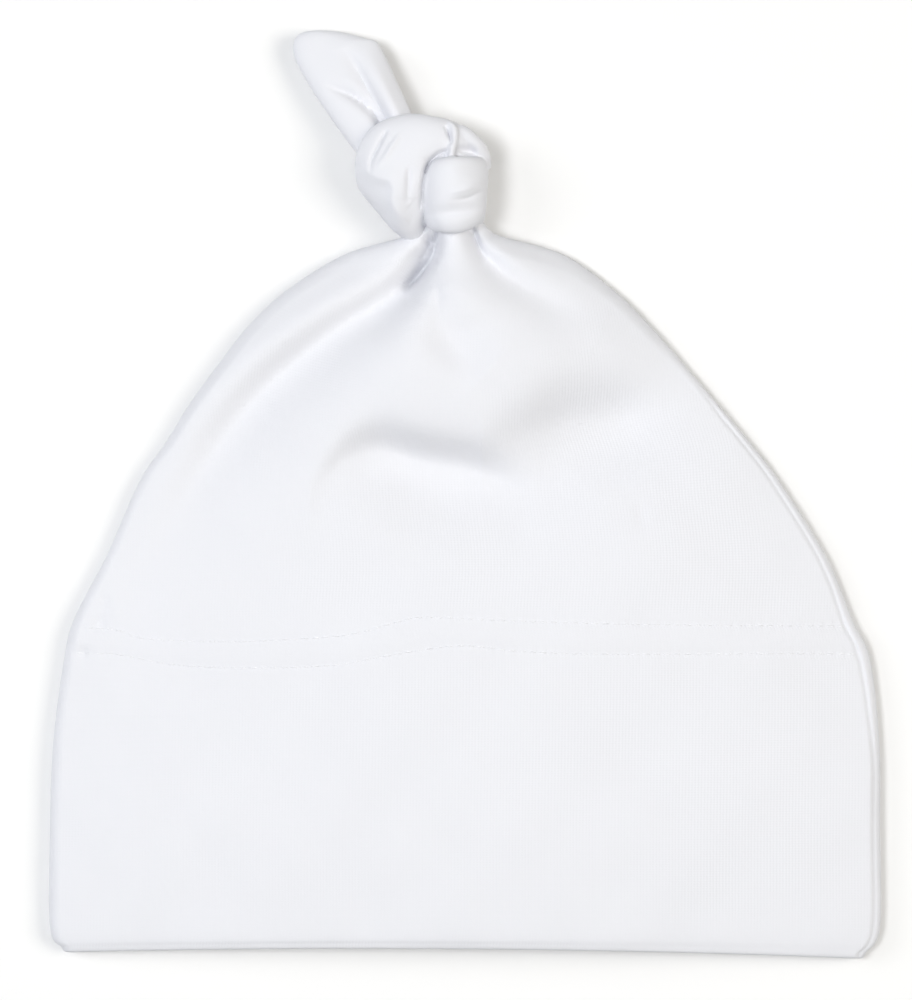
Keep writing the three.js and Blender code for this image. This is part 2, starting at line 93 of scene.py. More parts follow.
# Sections of the tube from the hem upwards: leftX, leftY, rightX, rightY, sag, edge, loft
BODY_SECTIONS = [
    [-0.972, 0.006, 0.965, -0.003, -0.013, 1, 0.5],
    [-1.0, 0.034, 1.0, 0.034, -0.006, 1.1, 0.56],
    [-1.0, 0.17, 1.0, 0.17, 0, 1.15, 0.7],
    [-0.992, 0.293, 0.998, 0.293, 0, 1.1, 0.72],
    [-0.966, 0.408, 0.976, 0.408, -0.008, 1.05, 0.74],
    [-0.942, 0.463, 0.935, 0.461, -0.006, 1, 0.74],
    [-0.864, 0.551, 0.87, 0.551, 0.006, 0.95, 0.76],
    [-0.786, 0.653, 0.76, 0.653, 0.02, 0.95, 0.78],
    [-0.72, 0.71, 0.685, 0.71, 0.03, 0.95, 0.82],
    [-0.661, 0.765, 0.605, 0.765, 0.042, 1, 0.9],
    [-0.594, 0.818, 0.53, 0.816, 0.052, 1, 1],
    [-0.524, 0.87, 0.448, 0.87, 0.06, 1.05, 1.06],
    [-0.436, 0.918, 0.36, 0.92, 0.068, 1.1, 1.02],
    [-0.292, 0.97, 0.235, 0.971, 0.072, 1.2, 0.85],
]
# The gathered neck: leftX, leftY, rightX, rightY, sag, thick, lift
NECK_SECTIONS = [
    [-0.62, 0.994, 0.64, 0.994, 0.046, 1.25, 0.7],
    [-0.44, 1.004, 0.47, 1.004, 0.024, 1.05, 0.92],
    [-0.33, 1.022, 0.34, 1.022, 0.004, 1, 1],
]
# The radius of the gathered neck's edges, a share of its height
GATHERED_EDGE = 0.4
# The number of sections, counted back from the neck's first, over which the gathers fill the hollow
SOLID_NECK = 2.4
# The number of sections over which the hollow closes below the gathers, and how far its top comes down there
CLOSING = 1.6
CLOSING_PRESS = 0.75

# Folds of the front, each a path of rows: x, y, rise, left, right, round (2 is a round bottom, 1 a crease).
# Left and right are its widths on the two sides of its way, in FOLD_WIDTH, and rise is in FOLD_RISE.
FOLDS = {
    "left_groove": [
        [-0.085, 0.985, -1.3, 0.18, 0.2, 1.6],
        [-0.132, 0.932, -1.4, 0.36, 0.28, 1.8],
        [-0.213, 0.894, -1.2, 0.6, 0.34, 1.9],
        [-0.325, 0.853, -1.1, 0.8, 0.38, 1.9],
        [-0.48, 0.778, -1, 0.9, 0.4, 1.9],
        [-0.6, 0.69, -0.7, 0.9, 0.46, 1.9],
        [-0.74, 0.55, -0.2, 0.8, 0.5, 1.9],
        [-0.85, 0.45, 0, 0.7, 0.5, 2],
    ],
    "left_roll": [
        [-0.15, 0.965, 0, 0.3, 0.3, 2],
        [-0.265, 0.92, 0.2, 0.34, 0.34, 2],
        [-0.375, 0.882, 0.3, 0.36, 0.36, 2],
        [-0.535, 0.815, 0.3, 0.38, 0.38, 2],
        [-0.66, 0.725, 0.2, 0.4, 0.4, 2],
        [-0.79, 0.57, 0, 0.4, 0.4, 2],
    ],
    "middle_ridge": [
        [-0.03, 0.99, 0.3, 0.3, 0.25, 2],
        [-0.01, 0.93, 0.22, 0.5, 0.4, 2],
        [0.02, 0.86, 0, 0.8, 0.6, 2],
    ],
    "middle_dent": [
        [-0.07, 0.92, 0, 0.3, 0.3, 2],
        [-0.058, 0.885, -0.35, 0.6, 0.4, 2],
        [-0.038, 0.855, -0.6, 0.7, 0.5, 2],
        [0, 0.83, -0.5, 0.7, 0.5, 2],
        [0.05, 0.804, 0, 0.6, 0.5, 2],
    ],
    "right_groove": [
        [0.015, 1.0, -0.45, 0.14, 0.14, 1.6],
        [0.05, 0.965, -0.5, 0.22, 0.26, 1.6],
        [0.118, 0.93, -0.42, 0.36, 0.4, 1.6],
        [0.21, 0.9, -0.34, 0.5, 0.5, 1.8],
        [0.33, 0.872, 0, 0.6, 0.6, 2],
    ],
    "right_ridge": [
        [0.07, 0.985, 0.2, 0.2, 0.2, 2],
        [0.115, 0.957, 0.34, 0.26, 0.26, 2],
        [0.2, 0.934, 0.24, 0.34, 0.34, 2],
        [0.33, 0.9, 0, 0.4, 0.4, 2],
    ],
}
# Hollows that lie across the front: x, y, depth, above, below. Each is lowest along its line, and above and
# below are shares of the fold's width on the sides of the knot and of the hem.
HOLLOWS = {
    "long_hollow": [
        [-0.37, 0.635, 0, 0.4, 0.6],
        [-0.29, 0.68, 0.6, 0.46, 0.9],
        [-0.209, 0.695, 1.2, 0.5, 1.1],
        [-0.108, 0.681, 1.45, 0.52, 1.2],
        [0.014, 0.667, 1.4, 0.54, 1.2],
        [0.113, 0.645, 0.95, 0.6, 1.2],
        [0.18, 0.63, 0.55, 0.7, 1.2],
        [0.25, 0.62, 0.24, 0.8, 1.2],
        [0.33, 0.61, 0.06, 0.8, 1.2],
        [0.42, 0.6, 0, 0.8, 1.2],
    ],
    "right_hollow": [
        [0.04, 0.69, 0, 0.6, 0.8],
        [0.132, 0.71, 0.7, 0.7, 1],
        [0.241, 0.728, 1.45, 0.82, 1.2],
        [0.361, 0.736, 1.45, 0.86, 1.2],
        [0.47, 0.74, 0.8, 0.86, 1.2],
        [0.56, 0.735, 0.3, 0.86, 1.2],
        [0.64, 0.73, 0.06, 0.8, 1.2],
        [0.72, 0.73, 0, 0.8, 1.2],
    ],
}
# Finer creases than the solids hold, in the same columns
FINE_FOLDS = {
    "neck_slit": [
        [-0.062, 1.0, -0.5, 0.07, 0.07, 2],
        [-0.075, 0.968, -0.8, 0.1, 0.1, 2],
        [-0.1, 0.947, -0.9, 0.1, 0.12, 2],
        [-0.128, 0.93, -0.7, 0.1, 0.12, 2],
        [-0.15, 0.918, 0, 0.1, 0.12, 2],
    ],
    "middle_crease": [
        [-0.07, 0.94, 0, 0.1, 0.1, 1.6],
        [-0.064, 0.91, -0.12, 0.12, 0.12, 1.6],
        [-0.06, 0.87, 0, 0.14, 0.14, 1.6],
    ],
    "right_slit": [
        [0.022, 1.0, -0.3, 0.06, 0.06, 2],
        [0.034, 0.982, -0.28, 0.06, 0.06, 2],
        [0.05, 0.96, 0, 0.08, 0.08, 2],
    ],
    "shoulder_shade": [
        [0.12, 0.985, 0, 0.1, 0.1, 2],
        [0.18, 0.972, -0.1, 0.14, 0.14, 2],
        [0.28, 0.955, 0, 0.16, 0.16, 2],
    ],
    "dimple": [
        [0.418, 0.63, 0, 0.12, 0.12, 2],
        [0.42, 0.61, -0.08, 0.14, 0.14, 2],
        [0.424, 0.58, 0, 0.12, 0.12, 2],
    ],
}
# Small round dents where the hem's stitches cross the left side seam: x, y, depth, radius
PUCKERS = [
    [-0.865, 0.487, -0.1, 0.12],
    [-0.877, 0.458, -0.14, 0.13],
    [-0.917, 0.416, -0.12, 0.14],
    [-0.84, 0.472, 0.06, 0.12],
]
# The two rows of stitches that hold the hem: x and y at chosen places, in shares of half width and height
STITCH_ROWS = {
    "upper": [
        [-1.0, 0.452], [-0.844, 0.449], [-0.769, 0.437], [-0.565, 0.433], [-0.303, 0.441], [-0.17, 0.459],
        [-0.096, 0.467], [0.123, 0.462], [0.342, 0.458], [0.65, 0.455], [0.883, 0.454], [1.0, 0.452],
    ],
    "lower": [
        [-1.0, 0.416], [-0.888, 0.416], [-0.827, 0.414], [-0.683, 0.4], [-0.493, 0.397], [-0.318, 0.401],
        [-0.156, 0.417], [-0.01, 0.428], [0.137, 0.42], [0.342, 0.416], [0.78, 0.416], [1.0, 0.414],
    ],
}
STITCH_LENGTH = 2.1 * MM
# The thread that shows of each stitch, a share of its length, and the thread's own shape
STITCH_SHARE = 0.72
THREAD_RADIUS = 0.11 * MM
THREAD_LIFT = 0.03 * MM
THREAD_SIDES = 6
THREAD_RINGS = 5
# The part of the front that holds the stitches, in shares of the height
STITCHED_BAND = [0.36, 0.52]
BAND_ROWS = 160
# The relief of the cloth at the rows of stitches: depth, width
STITCH_RELIEF = {
    "groove": [0.07 * MM, 0.5 * MM],
    "needle_holes": [0.1 * MM, 0.45 * MM],
    "ripples": [0.05 * MM, 1.6 * MM],
    "swell_between": [-0.14 * MM, 2.2 * MM],
}
# The slow unevenness of cloth that lies loose, in millimetres and radians: depth, along x, along y, phase
WAVES = [
    [0.16, 0.09, 0.04, 0.3], [0.14, -0.05, 0.11, 1.7], [0.1, 0.17, -0.1, 2.9],
    [0.07, 0.24, 0.2, 0.8], [0.05, -0.3, 0.27, 4.1], [0.03, 0.5, 0.36, 5.2],
]

# The side seam that shows along the right edge: y and distance in from the edge, a share of the edge's radius
SIDE_SEAM = [
    [0.0, 0.62], [0.14, 0.66], [0.26, 0.6], [0.34, 0.85], [0.43, 1.05], [0.5, 0.8], [0.62, 0.75], [0.74, 0.6],
    [0.81, 0.2],
]
SEAM_DEPTH = 0.36 * MM
SEAM_WIDTH = 0.5 * MM

# The strands of the knot, as rows of x, y, z, wide, thick, outX, outY, outZ, slant and full, which is 1 for an
# ellipse and 0 for a rectangle
STRANDS = {
    "core": [
        [0, 0.06, 0.4, 0.72, 1.26, 0, 0, 1, 0, 0.9],
        [0, 0.3, 0.42, 0.72, 1.2, 0, 0, 1, 0, 0.9],
        [0.03, 0.5, 0.47, 0.7, 1.15, 0, 0, 1, 0, 0.9],
        [0.04, 0.62, 0.52, 0.6, 1, 0, 0, 1, 0, 0.9],
    ],
    "lobe": [
        [0.1, 0.48, 0.44, 0.4, 1.2, 0, 0, 1, 0, 0.9],
        [0.08, 0.62, 0.44, 0.42, 1.3, 0, 0, 1, 0, 0.9],
        [0.04, 0.72, 0.51, 0.46, 1.3, 0, 0.1, 1, 0, 0.9],
        [-0.03, 0.79, 0.59, 0.52, 1.3, 0, 0.2, 1, 0, 0.9],
        [-0.14, 0.8, 0.65, 0.62, 1.25, 0, 0.2, 1, 0, 0.9],
        [-0.265, 0.77, 0.67, 0.82, 1.2, -0.1, 0.15, 1, 0, 0.85],
        [-0.37, 0.67, 0.67, 1.05, 1.15, -0.2, 0.05, 1, 0, 0.85],
        [-0.4, 0.52, 0.63, 1.12, 1.25, -0.3, -0.15, 1, 0, 1.05],
        [-0.37, 0.35, 0.56, 1.02, 1.5, -0.4, -0.38, 1, 0, 1.25],
        [-0.335, 0.18, 0.49, 0.68, 1.4, -0.42, -0.4, 1, 0, 1.25],
        [-0.285, 0.05, 0.38, 0.4, 1, -0.35, -0.3, 1, 0, 0.95],
        [-0.25, -0.03, 0.3, 0.26, 0.7, -0.3, -0.3, 1, 0, 1],
    ],
    "wrap": [
        [-0.28, 0.3, 0.3, 0.8, 0.7, -0.5, 0, -1, 0, 0.7],
        [-0.1, 0.3, 0.17, 0.9, 0.64, 0, 0, -1, 0, 0.65],
        [0.07, 0.31, 0.18, 0.88, 0.64, 0.2, 0, -1, 0, 0.6],
        [0.145, 0.34, 0.34, 0.88, 0.66, 1, 0, -0.4, 0, 0.6],
        [0.155, 0.36, 0.55, 0.88, 0.72, 1, -0.1, 0.3, 0, 0.65],
        [0.11, 0.335, 0.74, 0.94, 0.84, 0.5, -0.18, 1, 0, 0.76],
        [0.02, 0.31, 0.81, 1.01, 0.9, 0, -0.2, 1, 0, 0.78],
        [-0.065, 0.3, 0.76, 0.98, 0.9, -0.5, -0.18, 1, 0, 0.76],
        [-0.115, 0.3, 0.6, 0.9, 0.84, -1, -0.1, 0.4, 0, 0.7],
        [-0.12, 0.32, 0.43, 0.84, 0.8, -1, 0, -0.1, 0, 0.7],
    ],
    "twist": [
        [-0.05, 0.94, 0.62, 0.1, 0.5, 0, 0.2, 1, 0, 1],
        [0.005, 0.88, 0.76, 0.12, 0.5, 0, 0.2, 1, 0, 1],
        [0.01, 0.79, 0.8, 0.12, 0.5, 0, 0.1, 1, 0, 1],
        [-0.005, 0.7, 0.8, 0.11, 0.5, 0, 0, 1, 0, 1],
        [-0.02, 0.6, 0.68, 0.1, 0.4, 0, 0, 1, 0, 1],
    ],
    "shoulder": [
        [-0.04, 0.84, 0.6, 0.2, 0.6, 0, 0.3, 1, 0, 1],
        [0.05, 0.85, 0.66, 0.24, 0.62, 0.1, 0.3, 1, 0, 1],
        [0.13, 0.775, 0.64, 0.24, 0.62, 0.3, 0.3, 1, 0, 1],
        [0.185, 0.69, 0.55, 0.24, 0.6, 0.7, 0.3, 0.8, 0, 1],
        [0.2, 0.58, 0.4, 0.24, 0.6, 1, 0.3, 0.6, 0, 1],
    ],
}
# Where the tail leaves the knot, in shares of the knot's width and length, and the tail's stations, with x and
# y in shares of its own length and the other columns as in the strands
TAIL_ROOT = [-0.38, 0.63]
TAIL_SECTIONS = [
    [0, 0, 0.42, 0.68, 1.05, 0, 0, 1, 0, 0.9],
    [-0.117, 0.21, 0.42, 0.84, 1.12, 0, 0, 1, 0, 0.85],
    [-0.24, 0.423, 0.37, 0.93, 1.1, 0, 0, 1, 0, 0.8],
    [-0.362, 0.64, 0.31, 1, 1, 0, 0, 1, 0.12, 0.8],
    [-0.448, 0.795, 0.26, 0.97, 0.9, 0, 0, 1, 0.38, 0.8],
    [-0.492, 0.893, 0.24, 0.88, 0.85, 0, 0, 1, 0.5, 0.85],
]
# Folds of the knot, in plan: x and y are shares of its width and length from the neck's middle, as for the
# strands; rise, left and right are in STRAND_FOLD, and round is as in the tube's folds
KNOT_FOLDS = {
    "lobe_edge": [
        [-0.019, 0.703, 0, 0.4, 0.4, 2],
        [-0.089, 0.668, -1.1, 0.4, 0.45, 2],
        [-0.152, 0.606, -1.4, 0.4, 0.45, 2],
        [-0.193, 0.51, -1.4, 0.4, 0.45, 2],
        [-0.211, 0.387, -1.4, 0.4, 0.45, 2],
        [-0.218, 0.264, -1.1, 0.4, 0.45, 2],
        [-0.228, 0.167, 0, 0.4, 0.4, 2],
    ],
    "lobe_streak": [
        [-0.451, 0.887, 0, 0.4, 0.5, 1.8],
        [-0.479, 0.826, -0.7, 0.4, 0.5, 1.6],
        [-0.521, 0.72, -0.8, 0.4, 0.5, 1.6],
        [-0.563, 0.606, -0.7, 0.4, 0.5, 1.6],
        [-0.576, 0.483, 0, 0.4, 0.5, 1.8],
    ],
    "lobe_ridge": [
        [-0.361, 0.843, 0, 0.7, 0.5, 2],
        [-0.409, 0.764, 0.5, 0.8, 0.5, 2],
        [-0.472, 0.641, 0.5, 0.8, 0.5, 2],
        [-0.535, 0.527, 0, 0.7, 0.5, 2],
    ],
    "lobe_crest": [
        [-0.667, 0.606, 0, 2, 1, 2],
        [-0.604, 0.536, 0.8, 2.4, 1.3, 1.8],
        [-0.528, 0.466, 1.1, 2.8, 1.4, 1.8],
        [-0.444, 0.431, 1.2, 3, 1.4, 1.8],
        [-0.409, 0.352, 1.2, 3, 1.4, 1.8],
        [-0.413, 0.246, 1.2, 2.6, 1.4, 1.8],
        [-0.367, 0.132, 0.9, 2, 1.2, 1.8],
        [-0.291, 0.079, 0, 1.4, 1, 2],
    ],
    "lobe_groove": [
        [-0.305, 0.571, 0, 0.6, 0.5, 2],
        [-0.308, 0.466, -0.6, 0.6, 0.5, 1.6],
        [-0.312, 0.343, -0.7, 0.6, 0.5, 1.6],
        [-0.319, 0.22, 0, 0.6, 0.5, 1.8],
    ],
    "wrap_crease": [
        [-0.047, 0.251, 0, 0.4, 0.9, 1.6],
        [0.03, 0.259, -0.3, 0.4, 1, 1.4],
        [0.092, 0.273, -0.6, 0.36, 1, 1.3],
        [0.148, 0.303, -0.7, 0.36, 1, 1.3],
        [0.204, 0.338, -0.5, 0.4, 1, 1.4],
        [0.252, 0.36, 0, 0.4, 0.9, 1.6],
    ],
    "wrap_ridge": [
        [-0.047, 0.308, 0, 0.8, 0.6, 2],
        [0.05, 0.33, 0.35, 0.8, 0.6, 2],
        [0.134, 0.365, 0.45, 0.8, 0.6, 2],
        [0.211, 0.413, 0, 0.8, 0.6, 2],
    ],
    "wrap_hollow": [
        [-0.214, 0.132, 0, 1, 1, 2],
        [-0.117, 0.14, -0.6, 1.5, 1.2, 2],
        [0.016, 0.155, -1, 1.6, 1.2, 2],
        [0.134, 0.18, -0.8, 1.6, 1.2, 2],
        [0.245, 0.22, 0, 1, 1, 2],
    ],
    "wrap_shade": [
        [0.016, 0.501, 0, 1.2, 1.2, 2],
        [0.106, 0.536, -0.3, 1.6, 1.4, 2],
        [0.176, 0.518, -0.3, 1.6, 1.4, 2],
        [0.232, 0.466, 0, 1.2, 1.2, 2],
    ],
    "twist_streak": [
        [-0.061, 0.922, 0, 0.3, 0.35, 2],
        [-0.037, 0.87, -0.9, 0.3, 0.4, 1.8],
        [-0.016, 0.808, -0.9, 0.3, 0.4, 1.8],
        [-0.002, 0.747, 0, 0.3, 0.35, 2],
    ],
    "shoulder_hollow": [
        [0.023, 0.72, 0, 0.7, 0.7, 2],
        [0.064, 0.703, -1.2, 0.9, 0.7, 2],
        [0.12, 0.694, -1.3, 0.9, 0.7, 2],
        [0.176, 0.685, 0, 0.7, 0.7, 2],
    ],
}
# Folds along the tail: across (to the right of its way), section, rise, left, right, round
TAIL_FOLDS = [
    [[0.34, 0.6, -1.2, 1, 0.8, 1.4], [0.28, 1.1, -2, 1.1, 0.8, 1.2], [0.24, 1.87, -1.7, 1.1, 0.9, 1.2],
     [0.22, 2.9, -0.8, 1.3, 1.1, 1.6], [0.2, 3.6, 0, 1.5, 1.3, 2]],
    [[0.12, 0.8, -1, 0.8, 0.7, 1.4], [0.06, 1.3, -2, 0.9, 0.8, 1.2], [-0.04, 1.75, -2.1, 1, 1, 1.2],
     [-0.28, 2.25, -1.5, 1.1, 1.1, 1.3], [-0.7, 2.75, 0, 1.1, 1, 1.6]],
    [[0.62, 0.5, 0.4, 1.8, 1.4, 2], [0.62, 1.4, 0.9, 2, 1.4, 2], [0.62, 2.4, 0.6, 2.2, 1.6, 2],
     [0.6, 3.6, 0, 2.4, 2, 2]],
    [[-0.5, 3, 0, 2, 2, 2], [-0.3, 3.8, -0.3, 2, 2, 2], [-0.1, 4.6, 0, 2, 2, 2]],
]
STRAND_FOLD = 1 * MM
# The slopes of a face of the knot, as its normal's z, between which the folds come in
CREASED_SLOPES = [0.1, 0.5]
# The tail's rounded tip: the size of its flat end, a share of its section, and the stations that it takes up
TIP_FACE = 0.2
TIP_STATIONS = 1.4

# How finely the cloth is divided
FRONT_COLUMNS = 320
BACK_COLUMNS = 70
FRONT_SPREAD = 0.06
BACK_SPREAD = -0.09
HEM_ROWS = 120
CROWN_ROWS = 130
GATHER_SECTIONS = 4
GATHER_ROWS = 61
INNER_ROWS = 30
NOSE_ROWS = 6
PATH_STEPS = 8
LOOKUP_STEPS = 4000
ROW_STEPS = 200
SLOPE_STEP = 0.02
STRAND_SLOPE_STEP = 0.05
STRAND_SIDES = 110
STRAND_RINGS = 200
KNOT_VOXEL = 0.24 * MM
SHARP_ANGLE = 50


def smooth(rows, at):
    """The rows of a table, joined by a smooth curve through each column; at counts rows from 0."""
    rows = np.asarray(rows, float)
    at = np.atleast_1d(np.asarray(at, float))
    last = len(rows) - 1
    start = np.clip(np.floor(at).astype(int), 0, last - 1)
    t = np.clip(at - start, 0, 1)[:, None]
    a, b, c, d = (rows[np.clip(start + k, 0, last)] for k in (-1, 0, 1, 2))
    rise, slope, next_slope = c - b, (c - a) / 2, (d - b) / 2
    bend = 3 * rise - 2 * slope - next_slope
    return b + t * (slope + t * (bend + t * (slope + next_slope - 2 * rise)))


def smoothstep(x, low, high):
    """0 below low and 1 above high, with a smooth rise between them."""
    t = np.clip((x - low) / (high - low), 0, 1)
    return t * t * (3 - 2 * t)


def in_metres():
    """The sections with every column in metres: leftX, leftY, rightX, rightY, sag, edge, loft, lift."""
    made = []
    for left_x, left_y, right_x, right_y, sag, edge, loft in BODY_SECTIONS:
        made.append([
            left_x * HALF_WIDTH, left_y * CAP_HEIGHT, right_x * HALF_WIDTH, right_y * CAP_HEIGHT,
            sag * CAP_HEIGHT, edge * EDGE_RADIUS, loft * LOFT, 0,
        ])
    for left_x, left_y, right_x, right_y, sag, thick, lift in NECK_SECTIONS:
        made.append([
            NECK_SHIFT + left_x * NECK_WIDTH, left_y * CAP_HEIGHT,
            NECK_SHIFT + right_x * NECK_WIDTH, right_y * CAP_HEIGHT, sag * CAP_HEIGHT,
            thick * NECK_HEIGHT * GATHERED_EDGE, thick * NECK_HEIGHT * (1 - 2 * GATHERED_EDGE),
            lift * NECK_LIFT,
        ])
    return np.array(made)


SECTIONS = in_metres()
NECK_END = len(SECTIONS) - 1


def fold_path(rows):
    """A fold's rows in metres, as a fine polyline."""
    scale = np.array([HALF_WIDTH, CAP_HEIGHT, FOLD_RISE, FOLD_WIDTH, FOLD_WIDTH, 1])
    return polyline(np.array(rows) * scale)


def polyline(rows):
    """A table's rows as a smooth line of short steps."""
    steps = (len(rows) - 1) * PATH_STEPS
    return smooth(rows, np.arange(steps + 1) / PATH_STEPS)


def fold_height(path, x, y):
    """The height that one fold adds at each place."""
    nearest = np.full(x.shape, np.inf)
    height = np.zeros(x.shape)
    for a, b in zip(path[:-1], path[1:]):
        dx, dy = b[0] - a[0], b[1] - a[1]
        t = np.clip(((x - a[0]) * dx + (y - a[1]) * dy) / (dx * dx + dy * dy), 0, 1)
        distance = np.hypot(x - a[0] - t * dx, y - a[1] - t * dy)
        left = dx * (y - a[1]) - dy * (x - a[0]) > 0
        width = np.where(left, a[3] + t * (b[3] - a[3]), a[4] + t * (b[4] - a[4]))
        power = a[5] + t * (b[5] - a[5])
        here = (a[2] + t * (b[2] - a[2])) * np.exp(-((distance / width) ** power))
        closer = distance < nearest
        height = np.where(closer, here, height)
        nearest = np.minimum(nearest, distance)
    return height


def hollow_path(rows):
    """A hollow's rows in metres, as a fine polyline."""
    return polyline(np.array(rows) * [HALF_WIDTH, CAP_HEIGHT, FOLD_RISE, FOLD_WIDTH, FOLD_WIDTH])


def hollow_depth(path, x, y):
    """The depth of one hollow at each place."""
    line, depth, above, below = (np.interp(x, path[:, 0], path[:, k]) for k in (1, 2, 3, 4))
    width = np.where(y > line, above, below)
    return depth * np.exp(-(((y - line) / width) ** 2))


MAIN_PATHS = [fold_path(rows) for rows in FOLDS.values()]
HOLLOW_PATHS = [hollow_path(rows) for rows in HOLLOWS.values()]
FINE_PATHS = [fold_path(rows) for rows in FINE_FOLDS.values()]


def row_height(row, x):
    """The height above the hem of a row of stitches at each x."""
    table = np.array(STITCH_ROWS[row]) * [HALF_WIDTH, CAP_HEIGHT]
    fine = smooth(table, np.linspace(0, len(table) - 1, ROW_STEPS))
    return np.interp(x, fine[:, 0], fine[:, 1])


def relief_at(kind, off):
    """The depth of one kind of stitch relief at a distance from its line."""
    depth, width = STITCH_RELIEF[kind]
    return depth * np.exp(-((off / width) ** 2))


def stitch_relief(x, y):
    """The groove, needle holes and slight ripples along the rows of stitches."""
    height = np.zeros(x.shape)
    wave = 0.5 + 0.5 * np.cos(2 * math.pi * x / STITCH_LENGTH)
    for row in STITCH_ROWS:
        off = y - row_height(row, x)
        height -= relief_at("groove", off)
        height -= relief_at("needle_holes", off) * wave ** 3
        height -= relief_at("ripples", off) * wave
    middle = (row_height("upper", x) + row_height("lower", x)) / 2
    return height - relief_at("swell_between", y - middle)


def unevenness(x, y):
    """The height of the slow waves of the cloth."""
    total = np.zeros(x.shape)
    for depth, along_x, along_y, phase in WAVES:
        total += depth * np.sin(x / MM * along_x + y / MM * along_y + phase)
    return total * MM


def seam_relief(x, y, from_right):
    """The groove of the side seam along the right edge, from its distance to that edge."""
    table = np.array(SIDE_SEAM)
    place = np.interp(y / CAP_HEIGHT, table[:, 0], table[:, 1]) * EDGE_RADIUS
    shown = 1 - smoothstep(y / CAP_HEIGHT, table[-2, 0], table[-1, 0])
    return -SEAM_DEPTH * shown * np.exp(-(((from_right - place) / SEAM_WIDTH) ** 2))


def surface(turn, at, fine=True):
    """Points of the tube's outer surface, a row of the grid for each at and a column for each turn."""
    left_x, left_y, right_x, right_y, sag, edge, loft, lift = smooth(SECTIONS, at).T[:, :, None]
    across = -np.cos(turn)[None, :]
    front = (np.sin(turn) >= -1e-12)[None, :]
    middle = 1 - across ** 2
    half = (right_x - left_x) / 2
    x = (left_x + right_x) / 2 + across * half
    y = (left_y + right_y) / 2 + across * (right_y - left_y) / 2 - sag * middle
    inward = np.minimum(half * (1 - np.abs(across)) / edge, 1)
    round_edge = edge * np.sqrt(1 - (1 - inward) ** 2)
    lift = np.maximum(lift, 0)
    folds = sum(fold_height(path, x, y) for path in MAIN_PATHS)
    folds = folds - sum(hollow_depth(path, x, y) for path in HOLLOW_PATHS)
    seam = 0
    if fine:
        folds = folds + sum(fold_height(path, x, y) for path in FINE_PATHS)
        for px, py, depth, radius in PUCKERS:
            off = np.hypot(x - px * HALF_WIDTH, y - py * CAP_HEIGHT) / (radius * FOLD_WIDTH)
            folds = folds + depth * FOLD_RISE * np.exp(-off ** 2)
        folds = folds + stitch_relief(x, y) + unevenness(x, y)
        seam = np.where(across > 0, seam_relief(x, y, half * (1 - across)), 0)
    over = lift + edge + round_edge + loft * middle + folds * smoothstep(inward, 0, 1) + seam
    z = np.where(front, over, lift + edge - round_edge)
    return np.stack([x, y, z], axis=-1)


def turns():
    """The columns' places round the section: the front from left to right, then the back."""
    u = np.arange(FRONT_COLUMNS) / FRONT_COLUMNS
    v = np.arange(BACK_COLUMNS) / BACK_COLUMNS
    front = math.pi * (u + FRONT_SPREAD * np.sin(2 * math.pi * u))
    back = math.pi * (1 + v + BACK_SPREAD * np.sin(2 * math.pi * v))
    return np.concatenate([front, back])


def inset_surface(turn, at, inset, level):
    """Points that lie inset inside the outer surface. Level ones keep the y of the outer points."""
    points = surface(turn, at, fine=False)
    low, high = np.maximum(at - SLOPE_STEP, 0), np.minimum(at + SLOPE_STEP, NECK_END)
    round_way = surface(turn + SLOPE_STEP, at, False) - surface(turn - SLOPE_STEP, at, False)
    along = surface(turn, high, False) - surface(turn, low, False)
    normal = np.cross(round_way, along)
    normal[..., 1] = np.where(np.asarray(level)[:, None], 0, normal[..., 1])
    normal /= np.linalg.norm(normal, axis=-1, keepdims=True)
    return points - inset * normal


def places_at_heights(heights):
    """The places among the sections whose side folds lie at those heights above the hem."""
    at = np.linspace(0, NECK_END, LOOKUP_STEPS)
    rows = smooth(SECTIONS, at)
    return np.interp(heights, (rows[:, 1] + rows[:, 3]) / 2, at)


def grid_object(name, grid, closed, uv=None):
    """A mesh of a grid whose rows are rings. A closed one joins its last ring to its first, and an open one
    has its two ends filled."""
    rings, size = grid.shape[:2]
    points = grid.reshape(-1, 3)
    r = np.arange(rings if closed else rings - 1)[:, None]
    i = np.arange(size)[None, :]
    a, b = r * size + i, r * size + (i + 1) % size
    above = ((r + 1) % rings) * size
    faces = np.stack([a, b, above + (i + 1) % size, above + i], axis=-1).reshape(-1, 4).tolist()
    if not closed:
        middles = [grid[0].mean(0), grid[-1].mean(0)]
        first = len(points)
        points = np.vstack([points, middles])
        start = (rings - 1) * size
        for k in range(size):
            n = (k + 1) % size
            faces.append([first, n, k])
            faces.append([first + 1, start + k, start + n])
    mesh = bpy.data.meshes.new(name)
    mesh.from_pydata((points + SHIFT).tolist(), [], faces)
    if uv is not None:
        layer = mesh.uv_layers.new(name="Cloth")
        index = np.zeros(len(mesh.loops), dtype=np.int64)
        mesh.loops.foreach_get("vertex_index", index)
        flat = np.vstack([uv.reshape(-1, 2), np.zeros((len(points) - uv.size // 2, 2))])
        layer.data.foreach_set("uv", flat[index].ravel())
    obj = bpy.data.objects.new(name, mesh)
    bpy.context.scene.collection.objects.link(obj)
    mesh.polygons.foreach_set("use_smooth", [True] * len(mesh.polygons))
    mesh.set_sharp_from_angle(angle=math.radians(SHARP_ANGLE))
    mesh.update()
    return obj


